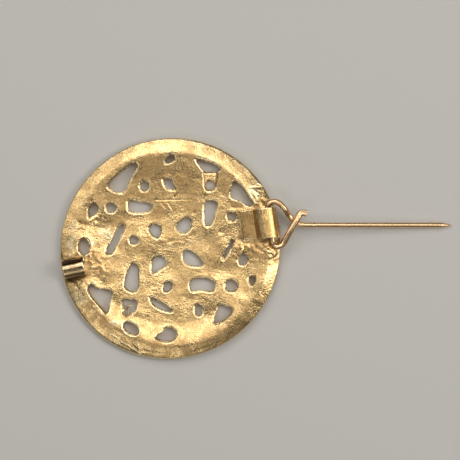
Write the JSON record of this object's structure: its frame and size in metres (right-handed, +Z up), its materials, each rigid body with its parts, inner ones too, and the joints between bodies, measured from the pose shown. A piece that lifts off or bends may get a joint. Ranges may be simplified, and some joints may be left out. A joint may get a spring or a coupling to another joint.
{
  "type": "openwork disc brooch",
  "caption": "Gilt openwork disc brooch lying on its face, with a soldered rolled hinge strap, a half-pipe catch and a bent-wire pin that swings over the back.",
  "frame": {"origin": "centre of the disc, in the plane of its display face, which is underneath", "axes": "+Z up out of the brooch's back, +X from the disc's centre along the opened pin, +Y to its left"},
  "size_m": [0.0709, 0.04, 0.0051],
  "materials": {
    "disc_gold": "worn gilt, hammered back",
    "strap_gold": "smooth gilt sheet",
    "catch_gold": "smooth browned gilt sheet",
    "pin_gold": "drawn wire, polished by wear"
  },
  "bodies": {
    "brooch": {"disc": "disc_gold", "hinge_strap": "strap_gold", "catch": "catch_gold"},
    "pin": {"pin": "pin_gold"}
  },
  "joints": [
    {"name": "pin_swing", "type": "hinge", "parent": "brooch", "child": "pin", "pos_m": [0.01718, 0.00402, 0.00325], "axis": [0.1513, -0.9885, 0], "range_deg": [0, 180]}
  ]
}
